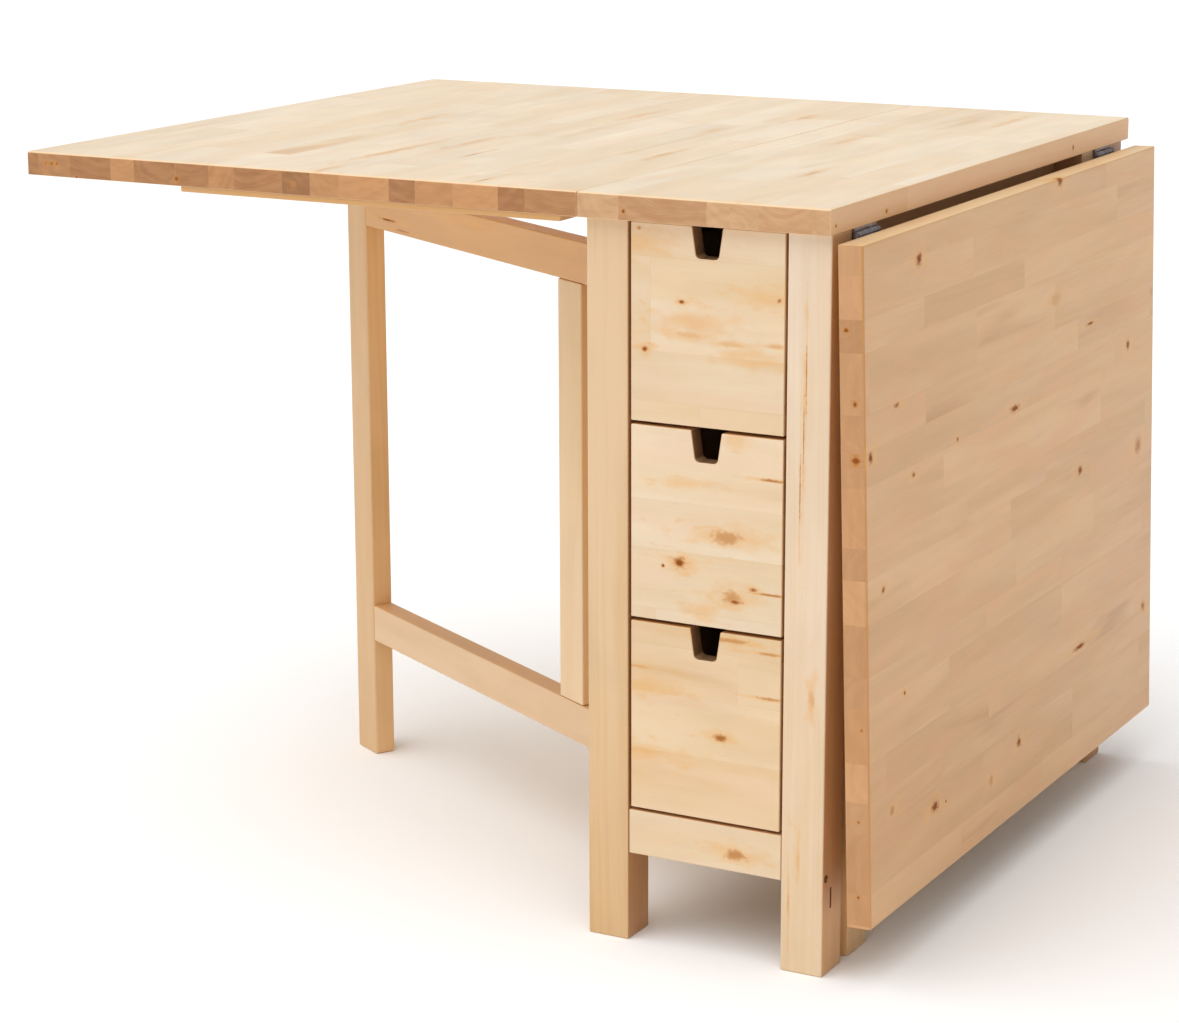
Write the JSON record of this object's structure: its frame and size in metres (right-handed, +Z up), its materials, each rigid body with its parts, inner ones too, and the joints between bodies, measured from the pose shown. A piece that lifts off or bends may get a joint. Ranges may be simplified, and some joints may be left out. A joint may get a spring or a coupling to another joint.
{
  "type": "gateleg table",
  "caption": "Drop-leaf table with a narrow drawer cabinet, a fixed centre top, hinged leaves on both long sides and swinging gates that hold them up.",
  "frame": {"origin": "on the floor, under the middle of the whole object's box in its rest pose: left leaf raised, right leaf hanging", "axes": "+Z up, +X from the raised leaf towards the hanging leaf, -Y the end that the front drawers open towards; the leaf hinges run along Y"},
  "size_m": [0.9604, 0.8, 0.74],
  "materials": {
    "top_birch": "clear satin lacquer on pale solid wood, glued up from staves",
    "leaf_birch": "clear satin lacquer on pale solid wood, glued up from staves",
    "frame_birch": "clear satin lacquer on straight-grained solid wood",
    "front_birch": "clear satin lacquer on solid wood with figure and small knots",
    "inner_wood": "unlacquered wood, out of sight",
    "zinc_steel": "zinc-plated steel"
  },
  "bodies": {
    "cabinet": {"centre_top": "top_birch", "side_panel_left": "inner_wood", "pivot_block_lower_left": "inner_wood", "pivot_pin_lower_left": "zinc_steel", "pivot_block_upper_left": "inner_wood", "pivot_pin_upper_left": "zinc_steel", "runner_left_low": "inner_wood", "runner_left_middle": "inner_wood", "runner_left_top": "inner_wood", "leg_front_left": "frame_birch", "hinge_fixed_front_left": "zinc_steel", "leg_back_left": "frame_birch", "hinge_fixed_back_left": "zinc_steel", "side_panel_right": "inner_wood", "pivot_block_lower_right": "inner_wood", "pivot_pin_lower_right": "zinc_steel", "pivot_block_upper_right": "inner_wood", "pivot_pin_upper_right": "zinc_steel", "runner_right_low": "inner_wood", "runner_right_middle": "inner_wood", "runner_right_top": "inner_wood", "leg_front_right": "frame_birch", "hinge_fixed_front_right": "zinc_steel", "leg_back_right": "frame_birch", "hinge_fixed_back_right": "zinc_steel", "centre_divider": "inner_wood", "plinth_rail_front": "front_birch", "plinth_rail_back": "front_birch"},
    "left_leaf": {"leaf_left": "leaf_birch", "gate_stop_left": "inner_wood", "batten_left": "frame_birch", "hinge_moving_front_left": "zinc_steel", "hinge_moving_back_left": "zinc_steel"},
    "left_gate": {"gate_left_lower_rail": "frame_birch", "gate_left_upper_rail": "frame_birch", "gate_left_floor_leg": "frame_birch", "gate_left_inner_post": "frame_birch"},
    "right_leaf": {"leaf_right": "leaf_birch", "gate_stop_right": "inner_wood", "batten_right": "frame_birch", "hinge_moving_front_right": "zinc_steel", "hinge_moving_back_right": "zinc_steel"},
    "right_gate": {"gate_right_lower_rail": "frame_birch", "gate_right_upper_rail": "frame_birch", "gate_right_floor_leg": "frame_birch", "gate_right_inner_post": "frame_birch"},
    "front_drawer_low": {"drawer_front_low_face": "front_birch", "drawer_front_low_box": "inner_wood"},
    "front_drawer_middle": {"drawer_front_middle_face": "front_birch", "drawer_front_middle_box": "inner_wood"},
    "front_drawer_top": {"drawer_front_top_face": "front_birch", "drawer_front_top_box": "inner_wood"},
    "back_drawer_low": {"drawer_back_low_face": "front_birch", "drawer_back_low_box": "inner_wood"},
    "back_drawer_middle": {"drawer_back_middle_face": "front_birch", "drawer_back_middle_box": "inner_wood"},
    "back_drawer_top": {"drawer_back_top_face": "front_birch", "drawer_back_top_box": "inner_wood"}
  },
  "joints": [
    {"name": "left_leaf_hinge", "type": "hinge", "parent": "cabinet", "child": "left_leaf", "pos_m": [0.16808, 0, 0.7088], "axis": [0, 1, 0], "range_deg": [0, 0.8]},
    {"name": "right_leaf_hinge", "type": "hinge", "parent": "cabinet", "child": "right_leaf", "pos_m": [0.42868, 0, 0.7088], "axis": [0, -1, 0], "range_deg": [0, 88.2]},
    {"name": "left_gate_pivot", "type": "hinge", "parent": "cabinet", "child": "left_gate", "pos_m": [0.18388, -0.284, 0], "axis": [0, 0, -1], "range_deg": [0, 60.5]},
    {"name": "right_gate_pivot", "type": "hinge", "parent": "cabinet", "child": "right_gate", "pos_m": [0.41288, 0.284, 0], "axis": [0, 0, 1], "range_deg": [0, 0.9]},
    {"name": "front_drawer_low_slide", "type": "slide", "parent": "cabinet", "child": "front_drawer_low", "axis": [0, -1, 0], "range_m": [0, 0.28]},
    {"name": "front_drawer_middle_slide", "type": "slide", "parent": "cabinet", "child": "front_drawer_middle", "axis": [0, -1, 0], "range_m": [0, 0.28]},
    {"name": "front_drawer_top_slide", "type": "slide", "parent": "cabinet", "child": "front_drawer_top", "axis": [0, -1, 0], "range_m": [0, 0.28]},
    {"name": "back_drawer_low_slide", "type": "slide", "parent": "cabinet", "child": "back_drawer_low", "axis": [0, 1, 0], "range_m": [0, 0.28]},
    {"name": "back_drawer_middle_slide", "type": "slide", "parent": "cabinet", "child": "back_drawer_middle", "axis": [0, 1, 0], "range_m": [0, 0.28]},
    {"name": "back_drawer_top_slide", "type": "slide", "parent": "cabinet", "child": "back_drawer_top", "axis": [0, 1, 0], "range_m": [0, 0.28]}
  ]
}
